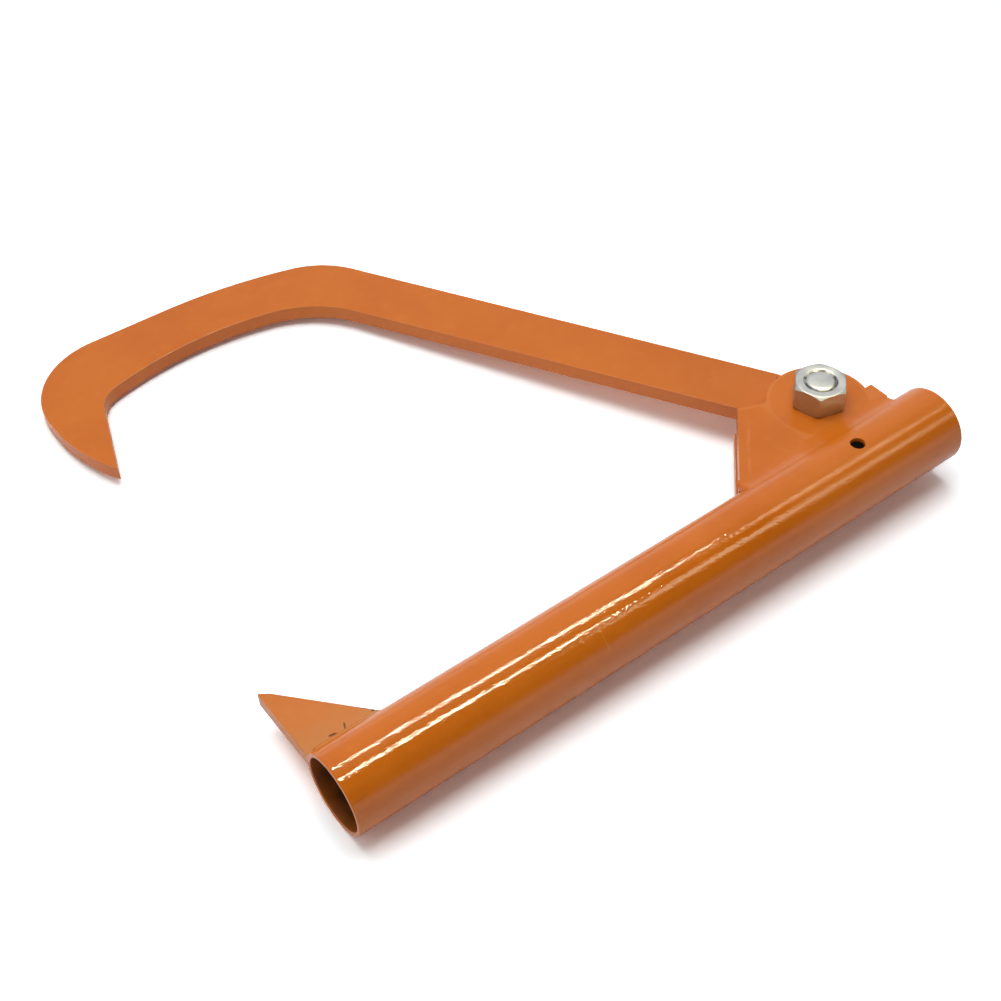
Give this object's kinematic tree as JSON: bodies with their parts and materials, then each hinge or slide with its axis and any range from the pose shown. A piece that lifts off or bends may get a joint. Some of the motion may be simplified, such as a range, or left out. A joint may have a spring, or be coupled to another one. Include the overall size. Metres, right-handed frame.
{
  "type": "cant hook head",
  "caption": "Fabricated steel cant hook head: a tubular pole socket with a pointed toe plate and a swinging flat hook bolted between two welded ears.",
  "frame": {"origin": "centre of the pole mouth of the socket tube", "axes": "+X out of the pole mouth along the tube's axis, +Y from the tube to the hook's side, +Z along the pivot bolt from its head to its nut"},
  "size_m": [0.435, 0.4168, 0.06],
  "materials": {
    "orange_paint": "semi-gloss orange paint on mild steel, a little orange peel on the tube",
    "zinc_plate": "bright zinc plate"
  },
  "bodies": {
    "head": {"socket_tube": "orange_paint", "toe_plate": "orange_paint", "toe_weld_upper": "orange_paint", "toe_weld_lower": "orange_paint", "lower_ear": "orange_paint", "lower_ear_weld": "orange_paint", "upper_ear": "orange_paint", "upper_ear_weld": "orange_paint", "pivot_bolt": "zinc_plate", "pivot_nut": "zinc_plate"},
    "hook": {"hook": "orange_paint"}
  },
  "joints": [
    {"name": "hook_pivot", "type": "hinge", "parent": "head", "child": "hook", "pos_m": [-0.0525, 0.047, 0], "axis": [0, 0, 1], "range_deg": [-108, 47]}
  ]
}
